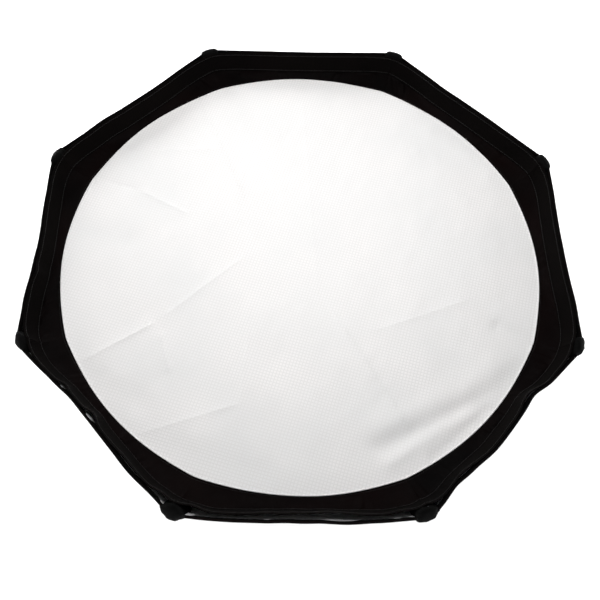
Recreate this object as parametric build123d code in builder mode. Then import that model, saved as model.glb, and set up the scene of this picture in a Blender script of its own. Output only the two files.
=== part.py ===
from build123d import *
from math import asin, atan2, cos, degrees, hypot, pi, radians, sin, tan
import os

os.makedirs("parts", exist_ok=True)

# Eight-sided folding studio softbox.  Millimetres.  +Z is the way the light leaves; z = 0 is the
# rear end of the light mount, and the Z axis is the centre of the light.

# ---- overall sizes ----
sides = 8              # ribs, and cloth panels between them
box_d = 950.0          # rim, corner to corner
box_depth = 400.0      # rear of the mount to the rim
rib_bend = 43.0        # degrees the sprung rib turns between hinge and tip

# ---- hinge circle, which the hub is built round ----
hinge_r = 84.0         # hinge pin centre, from the axis
hub_r = hinge_r + 10   # outside of the mount ring

# ---- light mount ----
bore_r = 50.0          # clear hole for the flash tube
insert_r = 56.0        # outside of the bayonet tube
claw_r = 61.0          # outside of the three bayonet claws
claw_t = 3.0           # claw thickness
claw_span = 36.0       # degrees each claw covers
flange_r = 66.0        # turning flange of the insert
flange_t = 4.0
base_z = 5.0           # rear face of the mount ring
base_t = 4.5           # its floor thickness
wall_t = 4.0           # wall round its edge
hub_top = 50.0         # front edge of that wall
screw_r = 1.5          # retainer screw shank
screw_head_r = 2.8
retainer_t = 3.0

# ---- rib hinges ----
hinge_z = 44.0
hinge_pin_r = 2.0
crank_w = 10.0         # width of a rib crank between its lugs
lug_w = 5.0
horn_len = 25.0        # hinge to runner pin, straight in towards the axis
fold_turn = 45.0       # degrees a rib swings between open and folded
socket_r = 4.8         # half height of the crank's rib socket
socket_len = 46.0      # hinge to the end of that socket
rod_r = 3.0            # rib rod
cap_r = 7.0            # moulded tip cap
cap_len = 24.0

# ---- runner ----
runner_r = hinge_r - 30.2  # outside of the runner ring
runner_h = 14.0
runner_pin_r = 1.7
post_r = 3.0           # guide post
post_ring_r = hinge_r - 8  # guide posts from the axis
post_top = 72.0
crown_t = 3.0
tab_w = 18.0           # release tab
tab_t = 3.0
tab_drop = 12.0        # ring's lower edge down to the finger plate
tab_reach = hub_r + 20  # finger end of the tab, from the axis

# ---- rotation lock ----
knob_r = 10.0
knob_len = 16.0
lock_screw_r = 1.8
lock_turn_deg = 135.0  # where the knob sits round the mount
pad_gap = 0.6          # pad to insert flange when the lock is slack

# ---- cloth ----
cloth_t = 1.0          # shell cloth with its lining
shell_off = 8.0        # rib centre to the shell's inner face
tape_t = 1.0           # seam tape over each rib
tape_w_hub = 30.0      # half width from the mount out to tape_taper_r
tape_w_rim = 15.0      # half width at the rim
tape_taper_r = 300.0   # where it starts to narrow
pocket_r = 13.0        # tip pocket
pocket_t = 3.0
pocket_len = 28.0
strip_h = 36.0         # hook strip round the inside of the rim
strip_t = 1.2
rim_hem = 3.0          # top of the strip below the rim edge
panel_t = 1.2          # front diffuser
window_r = 403.0       # white window
window_drop = 9.0      # window edge below the fold line
centre_drop = 14.0     # middle of the window below the fold line

# ---- clearances ----
gap_run = 0.5          # round turning and sliding parts
gap_fit = 0.1          # round a part that is fixed in its hole
gap_cloth = 0.5        # between neighbouring cloth pieces
gap_seam = 0.2         # half the gap on each seam line between panels
gap_rib = 0.5          # diffuser corner to the rib

half_turn = pi / sides
c_half = cos(half_turn)

# The rib is a round arc in its own upright plane, from the hinge to just past the rim corner.
rib_end_r = box_d / 2 - 7.3
rib_end_z = box_depth + 3.4
chord = hypot(rib_end_r - hinge_r, rib_end_z - hinge_z)
lean = atan2(rib_end_r - hinge_r, rib_end_z - hinge_z)
rib_arc_r = chord / (2 * sin(radians(rib_bend) / 2))
rib_len = rib_arc_r * radians(rib_bend)
lean_hub = lean + radians(rib_bend) / 2
lean_rim = lean - radians(rib_bend) / 2


def rib_point(s, off=0.0):
    """Radius and height, s along the rib from its hinge and off outside its centre line."""
    a = lean_hub - s / rib_arc_r
    r = hinge_r + rib_arc_r * (cos(a) - cos(lean_hub)) + off * cos(a)
    z = hinge_z + rib_arc_r * (sin(lean_hub) - sin(a)) - off * sin(a)
    return r, z


def panel_point(s, off):
    """The same place carried to the middle of a flat-sided cloth panel."""
    r, z = rib_point(s, off)
    return r * c_half, z


def upright(angle):
    """Plane holding the Z axis: local x runs outwards at this angle, local y runs up."""
    a = radians(angle)
    return Plane(origin=(0, 0, 0), x_dir=(cos(a), sin(a), 0), z_dir=(sin(a), -cos(a), 0))


def level(angle, z=0.0):
    a = radians(angle)
    return Plane(origin=(0, 0, z), x_dir=(cos(a), sin(a), 0), z_dir=(0, 0, 1))


def band(s0, s1, off0, off1):
    """Closed outline of a cloth layer in the middle plane of a panel."""
    sm = (s0 + s1) / 2
    ThreePointArc(panel_point(s0, off0), panel_point(sm, off0), panel_point(s1, off0))
    Line(panel_point(s1, off0), panel_point(s1, off1))
    ThreePointArc(panel_point(s1, off1), panel_point(sm, off1), panel_point(s0, off1))
    Line(panel_point(s0, off1), panel_point(s0, off0))


def wedge(gap):
    """Plan outline of one panel's share of the box, kept gap clear of both rib planes."""
    reach = box_d
    back = gap / sin(half_turn)
    Polyline((back, 0), (back + reach, reach * tan(half_turn)),
             (back + reach, -reach * tan(half_turn)), close=True)


def save(piece, name):
    piece.part.label = name
    export_step(piece.part, f"parts/{name}.step")


step = 360 / sides
panel_angles = [step * k for k in range(sides)]
rib_angles = [step * k + step / 2 for k in range(sides)]
shell_start = ((hub_r + 4) / c_half - hinge_r) / sin(lean_hub) + 2
shell_out = shell_off + cloth_t
fold_s = rib_len - strip_h - rim_hem
base_top = base_z + base_t
flange_z = base_top + gap_run
lip_top = flange_z + flange_t + gap_run
pin_z = hinge_z + horn_len * tan(radians(fold_turn / 2))
pin_at_r = hinge_r - horn_len
low = (Align.CENTER, Align.CENTER, Align.MIN)

# ---- mount ring: floor, wall, hinge lugs ----
with BuildPart() as mount_ring:
    with Locations((0, 0, base_z)):
        Cylinder(hub_r, hub_top - base_z, align=low)
    with Locations((0, 0, base_top)):
        Cylinder(hub_r - wall_t, hub_top, align=low, mode=Mode.SUBTRACT)
    with BuildSketch(Plane.XY.offset(base_z)):
        Circle(flange_r + gap_run + 6.5)
        Circle(flange_r + gap_run, mode=Mode.SUBTRACT)
    extrude(amount=lip_top - base_z)
    Cylinder(insert_r + gap_run, 3 * hub_top, mode=Mode.SUBTRACT)
    with PolarLocations(0, sides, start_angle=step / 2):
        lug_y = crank_w / 2 + gap_run + lug_w / 2
        with Locations((hinge_r - 1, lug_y, base_z), (hinge_r - 1, -lug_y, base_z)):
            Box(16, lug_w, hub_top - base_z, align=low)
        with Locations((hinge_r + 4, 0, base_top + 14)):
            Box(22, crank_w + 2 * gap_run, hub_top, align=low, mode=Mode.SUBTRACT)
        with Locations((hinge_r, 0, hinge_z)):
            Cylinder(hinge_pin_r + gap_fit, 60, rotation=(90, 0, 0), mode=Mode.SUBTRACT)
    with PolarLocations(post_ring_r, 4):
        with Locations((0, 0, base_top)):
            Cylinder(post_r + 2.5, 4, align=low)
            Cylinder(post_r + gap_fit, 4, align=low, mode=Mode.SUBTRACT)
    with PolarLocations(0, 2, start_angle=step):
        with Locations((hub_r, 0, base_top + 0.3)):
            Box(3 * wall_t, tab_w + 2, hub_top - base_top - 13, align=low, mode=Mode.SUBTRACT)
    with PolarLocations(flange_r + gap_run + 3.2, 6, start_angle=30):
        with Locations((0, 0, base_z)):
            Cylinder(screw_r + gap_fit, 60, align=low, mode=Mode.SUBTRACT)
    with Locations(level(lock_turn_deg, flange_z + flange_t / 2).location):
        with Locations((hub_r, 0, 0)):
            Cylinder(lock_screw_r + gap_run, 70, rotation=(0, 90, 0), mode=Mode.SUBTRACT)
save(mount_ring, "mount_ring")

# ---- bayonet insert: tube, turning flange, three claws at the rear ----
with BuildPart() as bayonet_insert:
    Cylinder(insert_r, lip_top - gap_run, align=low)
    with Locations((0, 0, flange_z)):
        Cylinder(flange_r, flange_t, align=low)
    with BuildSketch(Plane.XY):
        with PolarLocations(0, 3):
            with BuildLine():
                a = radians(claw_span / 2)
                reach = claw_r / cos(a)
                Polyline((0, 0), (reach * cos(a), reach * sin(a)),
                         (reach * cos(a), -reach * sin(a)), close=True)
            make_face()
        Circle(claw_r, mode=Mode.INTERSECT)
    extrude(amount=claw_t)
    Cylinder(bore_r, 3 * hub_top, mode=Mode.SUBTRACT)
save(bayonet_insert, "bayonet_insert")

# ---- retainer ring and its screws hold the insert's flange in the mount ring ----
with BuildPart() as insert_retainer:
    with Locations((0, 0, lip_top)):
        Cylinder(flange_r + gap_run + 6.0, retainer_t, align=low)
    Cylinder(insert_r + gap_run, 3 * hub_top, mode=Mode.SUBTRACT)
    with PolarLocations(flange_r + gap_run + 3.2, 6, start_angle=30):
        Cylinder(screw_r + gap_fit, 3 * hub_top, mode=Mode.SUBTRACT)
save(insert_retainer, "insert_retainer")

with BuildPart() as retainer_screws:
    with PolarLocations(flange_r + gap_run + 3.2, 6, start_angle=30):
        with Locations((0, 0, base_z + 1)):
            Cylinder(screw_r, lip_top + retainer_t - base_z - 1, align=low)
        with Locations((0, 0, lip_top + retainer_t)):
            Cylinder(screw_head_r, 1.8, align=low)
            Box(0.8, 4.0, 3.0, mode=Mode.SUBTRACT)
save(retainer_screws, "retainer_screws")

# ---- one hinge pin through each pair of lugs ----
with BuildPart() as hinge_pins:
    with PolarLocations(0, sides, start_angle=step / 2):
        with Locations((hinge_r, 0, hinge_z)):
            Cylinder(hinge_pin_r, crank_w + 2 * (gap_run + lug_w), rotation=(90, 0, 0))
save(hinge_pins, "hinge_pins")

# ---- guide posts and the crown ring that ties their tops ----
with BuildPart() as guide_posts:
    with PolarLocations(post_ring_r, 4):
        with Locations((0, 0, base_top)):
            Cylinder(post_r, post_top - base_top, align=low)
save(guide_posts, "guide_posts")

with BuildPart() as guide_crown:
    with Locations((0, 0, post_top - crown_t)):
        Cylinder(post_ring_r + post_r + 2.5, crown_t, align=low)
        Cylinder(post_ring_r - post_r - 2.5, crown_t, align=low, mode=Mode.SUBTRACT)
    with PolarLocations(post_ring_r, 4):
        Cylinder(post_r + gap_fit, 3 * post_top, mode=Mode.SUBTRACT)
save(guide_crown, "guide_crown")

# ---- runner: ring with an ear each side of every crank fork, and a guide arm at each post ----
ear_in = crank_w / 2 + gap_run
ear_t = 3.0
with BuildPart() as runner_ring:
    with Locations((0, 0, pin_z)):
        Cylinder(runner_r, runner_h)
        with PolarLocations(0, sides, start_angle=step / 2):
            with Locations((runner_r + 2.5, ear_in + ear_t / 2, 0),
                           (runner_r + 2.5, -ear_in - ear_t / 2, 0)):
                Box(12, ear_t, 9)
            with Locations((pin_at_r, 0, 0)):
                Cylinder(runner_pin_r + gap_fit, 60, rotation=(90, 0, 0), mode=Mode.SUBTRACT)
        with PolarLocations(0, 4):
            with Locations(((runner_r + post_ring_r) / 2, 0, 0)):
                Box(post_ring_r - runner_r + 2, 9, 7)
            with Locations((post_ring_r, 0, 0)):
                Cylinder(post_r + 3, 7)
                Cylinder(post_r + gap_run, 9, mode=Mode.SUBTRACT)
        with PolarLocations(runner_r + 4, 2, start_angle=step):
            Box(14, tab_w, runner_h / 2, align=(Align.CENTER, Align.CENTER, Align.MAX))
        Cylinder(bore_r + 1, 3 * runner_h, mode=Mode.SUBTRACT)
save(runner_ring, "runner_ring")

with BuildPart() as runner_pins:
    with PolarLocations(0, sides, start_angle=step / 2):
        with Locations((pin_at_r, 0, pin_z)):
            Cylinder(runner_pin_r, 2 * (ear_in + ear_t), rotation=(90, 0, 0))
save(runner_pins, "runner_pins")

# ---- two cranked tabs carry the runner's push out under the shell ----
tab_top = pin_z - runner_h / 2 - gap_fit
tab_leg_r = post_ring_r + post_r + 4
with BuildPart() as release_tabs:
    for angle in (step, step + 180):
        with BuildSketch(upright(angle)):
            with BuildLine():
                Polyline((bore_r + 1.5, tab_top), (tab_leg_r + tab_t, tab_top),
                         (tab_leg_r + tab_t, tab_top - tab_drop), (tab_reach, tab_top - tab_drop),
                         (tab_reach, tab_top - tab_drop - tab_t),
                         (tab_leg_r, tab_top - tab_drop - tab_t), (tab_leg_r, tab_top - tab_t),
                         (bore_r + 1.5, tab_top - tab_t), close=True)
            make_face()
        extrude(amount=tab_w / 2, both=True)
    Cylinder(bore_r + 1.5, 3 * post_top, mode=Mode.SUBTRACT)
save(release_tabs, "release_tabs")

# ---- lock knob with its captive screw, and the pad it pushes on the insert's flange ----
lock_z = flange_z + flange_t / 2
with BuildPart(level(lock_turn_deg, lock_z)) as lock_knob:
    with Locations((hub_r + 2, 0, 0)):
        Cylinder(knob_r, knob_len, rotation=(0, 90, 0),
                 align=(Align.CENTER, Align.CENTER, Align.MIN))
    for flute in range(8):
        a = radians(45 * flute)
        with Locations((hub_r + 6 + knob_len / 2, (knob_r + 1) * cos(a), (knob_r + 1) * sin(a))):
            Cylinder(2.2, knob_len, rotation=(0, 90, 0), mode=Mode.SUBTRACT)
    with Locations((flange_r + 6, 0, 0)):
        Cylinder(lock_screw_r, hub_r + 6 - flange_r - 6, rotation=(0, 90, 0),
                 align=(Align.CENTER, Align.CENTER, Align.MIN))
save(lock_knob, "lock_knob")

with BuildPart(level(lock_turn_deg, lock_z)) as clamp_pad:
    with Locations((flange_r + pad_gap, 0, 0)):
        Cylinder(lock_screw_r, 4.6, rotation=(0, 90, 0),
                 align=(Align.CENTER, Align.CENTER, Align.MIN))
save(clamp_pad, "clamp_pad")

# ---- rib cranks: hinge eye, forked horn to the runner, socket for the rib rod ----
for k, angle in enumerate(rib_angles, 1):
    open_horn = radians(180 - fold_turn / 2)
    horn_tip = horn_len / cos(radians(fold_turn / 2)) + 2.6
    with BuildPart() as rib_crank:
        with BuildSketch(upright(angle)):
            with Locations((hinge_r, hinge_z)):
                Circle(socket_r + 1)
                with Locations(Location((horn_tip / 2 * cos(open_horn), horn_tip / 2 * sin(open_horn)),
                                        degrees(open_horn))):
                    Rectangle(horn_tip, 9)
                turn = pi / 2 - lean_hub
                with Locations(Location((socket_len / 2 * cos(turn), socket_len / 2 * sin(turn)),
                                        degrees(turn))):
                    Rectangle(socket_len, 2 * socket_r)
                with Locations(Location(((horn_tip - 3) * cos(open_horn),
                                         (horn_tip - 3) * sin(open_horn)), degrees(open_horn))):
                    Rectangle(12, 2 * (runner_pin_r + 0.6), mode=Mode.SUBTRACT)
                Circle(hinge_pin_r + gap_run, mode=Mode.SUBTRACT)
        extrude(amount=crank_w / 2, both=True)
        mouth, deep = rib_point(socket_len), rib_point(15)
        run = (mouth[0] - deep[0], mouth[1] - deep[1])
        with BuildSketch(Plane(origin=upright(angle).from_local_coords((*deep, 0)),
                               z_dir=upright(angle).from_local_coords((*run, 0)))):
            Circle(rod_r + 3 * gap_fit)
        extrude(amount=socket_len, mode=Mode.SUBTRACT)
    save(rib_crank, f"rib_crank_{k}")

# ---- rib rods, each with its moulded tip cap ----
for k, angle in enumerate(rib_angles, 1):
    side = upright(angle)
    start, tip = 16.0, rib_len - 8.0
    root, neck, end = rib_point(start), rib_point(rib_len - cap_len), rib_point(rib_len)
    run = (end[0] - neck[0], end[1] - neck[1], 0)
    with BuildPart() as rib_rod:
        with BuildLine(side) as rib_line:
            ThreePointArc(root, rib_point((start + tip) / 2), rib_point(tip))
        with BuildSketch(Plane(origin=rib_line.line @ 0, z_dir=rib_line.line % 0)):
            Circle(rod_r)
        sweep(path=rib_line.line)
        with BuildSketch(Plane(origin=side.from_local_coords((*neck, 0)),
                               z_dir=side.from_local_coords(run))):
            Circle(cap_r)
        extrude(amount=cap_len)
        fillet(rib_rod.edges().filter_by(GeomType.CIRCLE).sort_by(Axis.Z)[-1], 3)
    save(rib_rod, f"rib_rod_{k}")

# ---- seam tape over each rib, ending in the pocket that holds the rib tip ----
for k, angle in enumerate(rib_angles, 1):
    side = upright(angle)
    s0 = shell_start + 3
    with BuildPart() as rib_tape:
        with BuildSketch(upright(angle - step / 2)):
            with BuildLine():
                band(s0, rib_len, shell_out + gap_cloth, shell_out + gap_cloth + tape_t)
            make_face()
        extrude(amount=box_d, both=True)
        with BuildSketch(level(angle)):
            with BuildLine():
                Polyline((0, 0), (0, -tape_w_hub), (tape_taper_r, -tape_w_hub),
                         (box_d / 2, -tape_w_rim), (box_d, -tape_w_rim), (box_d, 0), close=True)
            make_face()
        extrude(amount=2 * box_depth, mode=Mode.INTERSECT)
        mirror(about=side)
        base, end = rib_point(rib_len - pocket_len), rib_point(rib_len)
        run = side.from_local_coords((end[0] - base[0], end[1] - base[1], 0))
        with BuildSketch(Plane(origin=side.from_local_coords((*base, 0)), z_dir=run)):
            Circle(pocket_r)
        extrude(amount=pocket_len + pocket_t)
        fillet(rib_tape.edges().filter_by(GeomType.CIRCLE).sort_by(Axis.Z)[-1], pocket_t - 0.5)
        with BuildSketch(Plane(origin=side.from_local_coords((*base, 0)), z_dir=run)):
            Circle(pocket_r - pocket_t)
        extrude(amount=pocket_len + gap_cloth, mode=Mode.SUBTRACT)
    save(rib_tape, f"rib_tape_{k}")

# ---- shell panels: one flat-sided cloth panel between each pair of ribs ----
for k, angle in enumerate(panel_angles, 1):
    with BuildPart() as shell_gore:
        with BuildSketch(upright(angle)):
            with BuildLine():
                band(shell_start, rib_len, shell_off, shell_out)
            make_face()
        extrude(amount=box_d, both=True)
        with BuildSketch(level(angle)):
            with BuildLine():
                wedge(gap_seam)
            make_face()
        extrude(amount=2 * box_depth, mode=Mode.INTERSECT)
        for turn in (-step / 2, step / 2):
            side = upright(angle + turn)
            base, end = rib_point(rib_len - pocket_len), rib_point(rib_len)
            run = side.from_local_coords((end[0] - base[0], end[1] - base[1], 0))
            with BuildSketch(Plane(origin=side.from_local_coords((*base, 0)), z_dir=run)
                             .offset(-gap_cloth)):
                Circle(pocket_r + gap_cloth)
            extrude(amount=2 * pocket_len, mode=Mode.SUBTRACT)
    save(shell_gore, f"shell_gore_{k}")

# ---- hook strip sewn round the inside of the rim ----
for k, angle in enumerate(panel_angles, 1):
    with BuildPart() as hook_strip:
        with BuildSketch(upright(angle)):
            with BuildLine():
                band(fold_s + 2, rib_len - rim_hem, shell_off - gap_cloth - strip_t,
                     shell_off - gap_cloth)
            make_face()
        extrude(amount=box_d, both=True)
        with BuildSketch(level(angle)):
            with BuildLine():
                wedge(pocket_r + gap_cloth)
            make_face()
        extrude(amount=2 * box_depth, mode=Mode.INTERSECT)
    save(hook_strip, f"hook_strip_{k}")

# ---- front diffuser: one sector to each shell panel, notched round the rib at each corner ----
fold_r, fold_z = panel_point(fold_s, shell_off)
low_z = fold_z - window_drop - panel_t
low_lean = asin(sin(lean_hub) - (low_z - hinge_z) / rib_arc_r)
corner_r = hinge_r + rib_arc_r * (cos(low_lean) - cos(lean_hub)) - rod_r / cos(low_lean) - gap_rib
for k, angle in enumerate(panel_angles, 1):
    with BuildPart() as diffuser_panel:
        with BuildSketch(upright(angle)):
            with BuildLine():
                edge, ring, mid = (fold_r - gap_cloth, fold_z), (window_r, fold_z - window_drop), \
                    (0, fold_z - centre_drop)
                Polyline(mid, ring, edge, (edge[0] - panel_t / 2, edge[1] - panel_t),
                         (ring[0], ring[1] - panel_t), (0, mid[1] - panel_t), close=True)
            make_face()
        extrude(amount=box_d, both=True)
        with BuildSketch(level(angle)):
            with BuildLine():
                wedge(gap_seam)
            make_face()
            Circle(corner_r, mode=Mode.INTERSECT)
        extrude(amount=2 * box_depth, mode=Mode.INTERSECT)
    save(diffuser_panel, f"diffuser_panel_{k}")
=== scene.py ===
from math import atan2, cos, hypot, pi, radians, sin, tan

import bpy
import numpy as np
from bpy.props import FloatProperty, FloatVectorProperty, IntProperty, PointerProperty
from mathutils import Matrix, Vector


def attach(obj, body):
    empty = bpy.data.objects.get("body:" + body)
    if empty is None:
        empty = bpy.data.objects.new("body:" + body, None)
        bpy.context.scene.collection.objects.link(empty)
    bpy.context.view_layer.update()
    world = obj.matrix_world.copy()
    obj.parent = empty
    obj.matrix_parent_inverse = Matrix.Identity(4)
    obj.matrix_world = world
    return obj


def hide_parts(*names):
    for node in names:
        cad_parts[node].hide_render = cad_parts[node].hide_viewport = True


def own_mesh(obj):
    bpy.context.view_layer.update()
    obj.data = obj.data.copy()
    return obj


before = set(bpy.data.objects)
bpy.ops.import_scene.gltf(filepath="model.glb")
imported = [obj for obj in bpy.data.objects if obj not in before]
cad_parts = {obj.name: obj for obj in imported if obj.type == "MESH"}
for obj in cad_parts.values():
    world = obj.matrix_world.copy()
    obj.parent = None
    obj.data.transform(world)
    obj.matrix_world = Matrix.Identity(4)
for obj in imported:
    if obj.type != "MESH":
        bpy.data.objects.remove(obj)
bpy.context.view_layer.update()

bl_info = {
    "name": "Folding studio softbox",
    "version": (1, 0, 0),
    "blender": (4, 5, 0),
    "location": "View3D > Sidebar > Softbox",
    "description": "Cloth, tapes and finishes of an eight-sided folding softbox",
    "category": "Object",
}

SIDES = 8
HALF = pi / SIDES
UPWARDS = np.array([0.0, 0.0, 1.0])
SHELL_OFF = 0.0088      # outer face of the shell, outside the ribs' centre lines
STRIP_OFF = 0.0056      # hook strip, the same way
SEAM_OFF = 0.0060       # sewn fold line of the front cloth, the same way
STRIP_CORNER = 0.012    # corner radius of the strip and the front cloth
TAPE_CORNER = 0.006     # corner radius under the seam tape


# ---- sizes and colours

def length(name, description, default):
    return FloatProperty(name=name, description=description, default=default, unit="LENGTH")


def colour(name, description, default):
    return FloatVectorProperty(name=name, description=description, subtype="COLOR", default=default,
                               min=0, max=1)


class SoftboxSizes(bpy.types.PropertyGroup):
    hinge_r: length("Hinge circle", "Rib hinge pins from the axis", 0.084)
    hinge_z: length("Hinge height", "Rib hinge pins above the mount's rear", 0.044)
    rib_end_r: length("Rib end radius", "Rib tip from the axis", 0.4677)
    rib_end_z: length("Rib end height", "Rib tip above the mount's rear", 0.4034)
    rib_bend: FloatProperty(name="Rib bend", description="How far a rib turns from hinge to tip",
                            default=radians(43), subtype="ANGLE")
    shell_start: length("Shell start", "Distance along the rib to the panel's edge", 0.0257)
    strip_h: length("Hook strip height", "Height of the strip inside the rim", 0.036)
    rim_hem: length("Strip below rim", "Top of the strip below the rim edge", 0.003)
    window_r: length("Window radius", "White window of the front cloth", 0.403)
    window_drop: length("Window drop", "Window edge below the fold line", 0.0035)
    centre_drop: length("Centre drop", "Window centre below the fold line", 0.0105)
    binding_h: length("Rim binding", "Height of the binding folded over the rim", 0.013)
    stitch_len: length("Stitch length", "Length of one sewn stitch", 0.0032)
    folded_width: FloatProperty(name="Folded width", description="Share of a panel's width left when folded",
                                default=0.27, min=0.1, max=1.0, subtype="FACTOR")
    seed: IntProperty(name="Wrinkle seed", description="Picks the set of wrinkles", default=7, min=0)


class SoftboxColours(bpy.types.PropertyGroup):
    shell: colour("Shell cloth", "Coated nylon outside", (0.0034, 0.0031, 0.0031))
    border: colour("Border cloth", "Plain nylon round the window", (0.0016, 0.0011, 0.0011))
    strip: colour("Hook strip", "Hook-and-loop strip", (0.0022, 0.0019, 0.0018))
    window: colour("Window cloth", "White diffusing cloth", (0.82, 0.81, 0.80))
    lining: colour("Lining", "Silver lining", (0.72, 0.72, 0.73))
    tape: colour("Seam tape", "Woven tape over the ribs", (0.0026, 0.0026, 0.0026))
    thread: colour("Thread", "Sewing thread", (0.013, 0.012, 0.012))


def sizes():
    return bpy.context.scene.softbox_sizes


def colours():
    return bpy.context.scene.softbox_colours


# ---- the rule the cloth follows

class RibArc:
    """The rib's round arc in its upright plane; lengths in metres along it from the hinge."""

    def __init__(self):
        z = sizes()
        self.z = z
        dr, dz = z.rib_end_r - z.hinge_r, z.rib_end_z - z.hinge_z
        lean = atan2(dr, dz)
        self.radius = hypot(dr, dz) / (2 * sin(z.rib_bend / 2))
        self.length = self.radius * z.rib_bend
        self.lean_hub = lean + z.rib_bend / 2
        self.fold = self.length - z.strip_h - z.rim_hem

    def lean(self, s):
        return self.lean_hub - s / self.radius

    def point(self, s, off=0.0):
        a = self.lean(s)
        r = self.z.hinge_r + self.radius * (np.cos(a) - cos(self.lean_hub)) + off * np.cos(a)
        h = self.z.hinge_z + self.radius * (sin(self.lean_hub) - np.sin(a)) - off * np.sin(a)
        return r, h


def ripple(x, y, seed):
    """Smooth random height, about -1 to 1, that varies over a distance of 1 in x and y."""
    rng = np.random.RandomState(seed)
    lattice = rng.uniform(-1, 1, (64, 64))
    x, y = np.broadcast_arrays(np.asarray(x, float), np.asarray(y, float))
    xi, yi = np.floor(x).astype(int), np.floor(y).astype(int)
    fx, fy = x - xi, y - yi
    fx, fy = fx ** 3 * (fx * (fx * 6 - 15) + 10), fy ** 3 * (fy * (fy * 6 - 15) + 10)
    at = lambda i, j: lattice[(xi + i) % 64, (yi + j) % 64]
    return ((at(0, 0) * (1 - fx) + at(1, 0) * fx) * (1 - fy)
            + (at(0, 1) * (1 - fx) + at(1, 1) * fx) * fy)


# Slow waves of the rim edge: panel number -> (place across the panel, height, width); metres.
RIM_WAVES = {
    8: ((0.36, -0.0075, 0.15), (-0.20, 0.0060, 0.24), (-0.70, -0.0045, 0.12)),
    1: ((0.10, -0.0035, 0.40), (-0.55, 0.0020, 0.15)),
    2: ((0.30, -0.0030, 0.25), (-0.35, 0.0020, 0.2)),
    3: ((0.00, -0.0035, 0.50),),
    4: ((-0.25, -0.0045, 0.30), (0.42, 0.0035, 0.14)),
    5: ((0.00, -0.0040, 0.35), (0.55, 0.0020, 0.12)),
    6: ((0.55, 0.0035, 0.24), (-0.22, -0.0045, 0.30)),
    7: ((0.00, 0.0105, 1.40), (0.35, 0.0012, 0.14), (-0.40, -0.0012, 0.18)),
}
# Where the strip stands away from the lining, so that the lining shows: the same three numbers.
STRIP_GAPS = {
    5: ((0.30, 0.0040, 0.06),),
    6: ((-0.42, 0.0060, 0.07), (-0.05, 0.0085, 0.09), (0.45, 0.0040, 0.25), (0.86, 0.0050, 0.12)),
    7: ((0.00, 0.0085, 1.00), (-0.86, 0.0060, 0.12), (-0.26, 0.0015, 0.06), (0.30, 0.0035, 0.18),
        (0.80, 0.0040, 0.10)),
    8: ((-0.55, 0.0035, 0.14), (0.30, 0.0040, 0.14)),
}
# Where the lining's loose edge shows above the strip: place across the panel, half width, how far.
LINING_PEEKS = {
    5: ((0.30, 0.03, 0.5),),
    6: ((-0.42, 0.035, 0.8), (-0.05, 0.055, 1.0), (0.90, 0.040, 0.8)),
    7: ((-0.86, 0.045, 1.25), (-0.26, 0.030, 0.6), (0.30, 0.140, 0.75), (0.74, 0.035, 0.7),
        (0.86, 0.03, 0.8)),
}
# Half sizes of a tip pouch, and the pouches that hang out of line: how far outwards, how far
# sideways (metres), and how full.
POUCH_DEEP = 0.0088
POUCH_WIDE = 0.0185
POUCHES = {6: (0.004, 0.002, 1.08), 7: (0.003, -0.006, 1.05), 5: (0.000, 0.0, 0.97)}


def bumps(u, table):
    d = np.zeros_like(u)
    for place, height, width in table:
        d = d + height * np.exp(-((u - place) / width) ** 2)
    return d


def wall(arc, k, u, s, off, corner_r=0.004, push=0.0):
    """Points on panel k: u runs -1 to 1 across it, s along it, off outside the rib centre line,
    push a further amount towards the inside."""
    u, s = np.broadcast_arrays(np.asarray(u, float), np.asarray(s, float))
    r, h = arc.point(s, off)
    flat = r * cos(HALF)
    half_w = flat * tan(HALF)
    grow = np.clip((s - arc.fold * 0.55) / (arc.length - arc.fold * 0.55), 0, 1)
    bow = (0.0015 + 0.0045 * np.sin(np.clip(s / arc.length, 0, 1) * pi)) * (1 - u ** 2)
    wave = bumps(u, RIM_WAVES[k]) * (1 - u ** 4) * grow ** 2
    seed = sizes().seed + 11 * k
    across = u * half_w
    pull = 1 - 0.55 * u ** 2
    small = 0.0007 * ripple(across / 0.028 + 9 * s, s / 0.075 + 3, seed) * pull
    small = small + 0.0011 * ripple(across / 0.075, s / 0.17, seed + 1) * pull
    from_corner = (1 - np.abs(u)) * half_w
    near = np.exp(-(from_corner / 0.030) ** 2)
    small = small + 0.0006 * ripple(across / 0.09, s / 0.011, seed + 2) * near
    push = push + bow - wave + small * (1 - u ** 8)
    a = arc.lean(s)
    back = corner_r * (1 / cos(HALF) - 1) * np.clip(1 - from_corner / corner_r, 0, 1) ** 2
    x = flat - (push + back) * np.cos(a)
    z = h + (push + back) * np.sin(a)
    return turned(k, x, u * x * tan(HALF), z)


def turned(k, x, y, z):
    """Points given in panel k's own turn, in the shared frame."""
    b = 2 * HALF * (k - 1)
    return np.stack([x * cos(b) - y * sin(b), x * sin(b) + y * cos(b), z], axis=-1)


def corner_push(arc, u, s):
    """How far the strip cuts across each corner, in front of the rib tip."""
    r, _ = arc.point(s)
    from_corner = (1 - np.abs(u)) * r * sin(HALF)
    depth = 0.0118 + 0.0030 * np.clip((s - arc.fold) / (arc.length - arc.fold), 0, 1)
    return depth * np.clip(1 - from_corner / 0.058, 0, 1) ** 2.2


# ---- front cloth

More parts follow.
